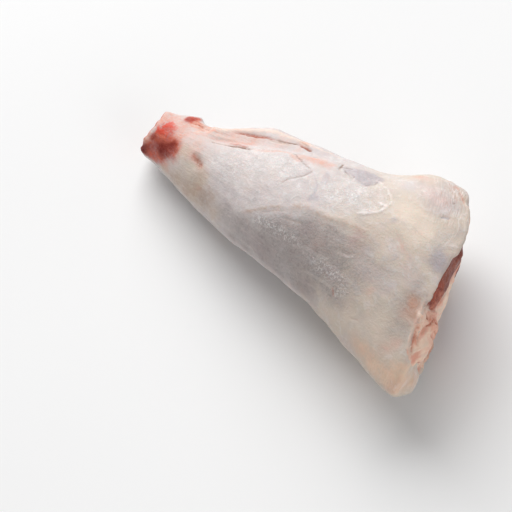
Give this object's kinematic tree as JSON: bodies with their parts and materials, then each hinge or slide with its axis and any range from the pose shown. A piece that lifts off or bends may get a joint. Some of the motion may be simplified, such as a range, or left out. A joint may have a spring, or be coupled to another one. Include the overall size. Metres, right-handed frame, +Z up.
{
  "type": "raw lamb shank",
  "caption": "Raw lamb hind shank lying on its inner side: muscle under a pale skin of fat and membrane, tapering from the open knee cut to the hock, with the shin bone through it.",
  "frame": {"origin": "on the floor under the middle of the shank's box", "axes": "+X along the leg from the hock to the knee cut, +Y towards the back of the leg with its heel tendon, +Z up, out of the leg's outer side"},
  "size_m": [0.1842, 0.1052, 0.0702],
  "materials": {
    "meat": "moist satin: pale membrane and fat outside, red muscle at the knee cut",
    "bone": "damp, matt",
    "cartilage": "wet gloss"
  },
  "bodies": {
    "root": {"meat": "meat", "bone": "bone", "meniscus": "cartilage"}
  },
  "joints": []
}
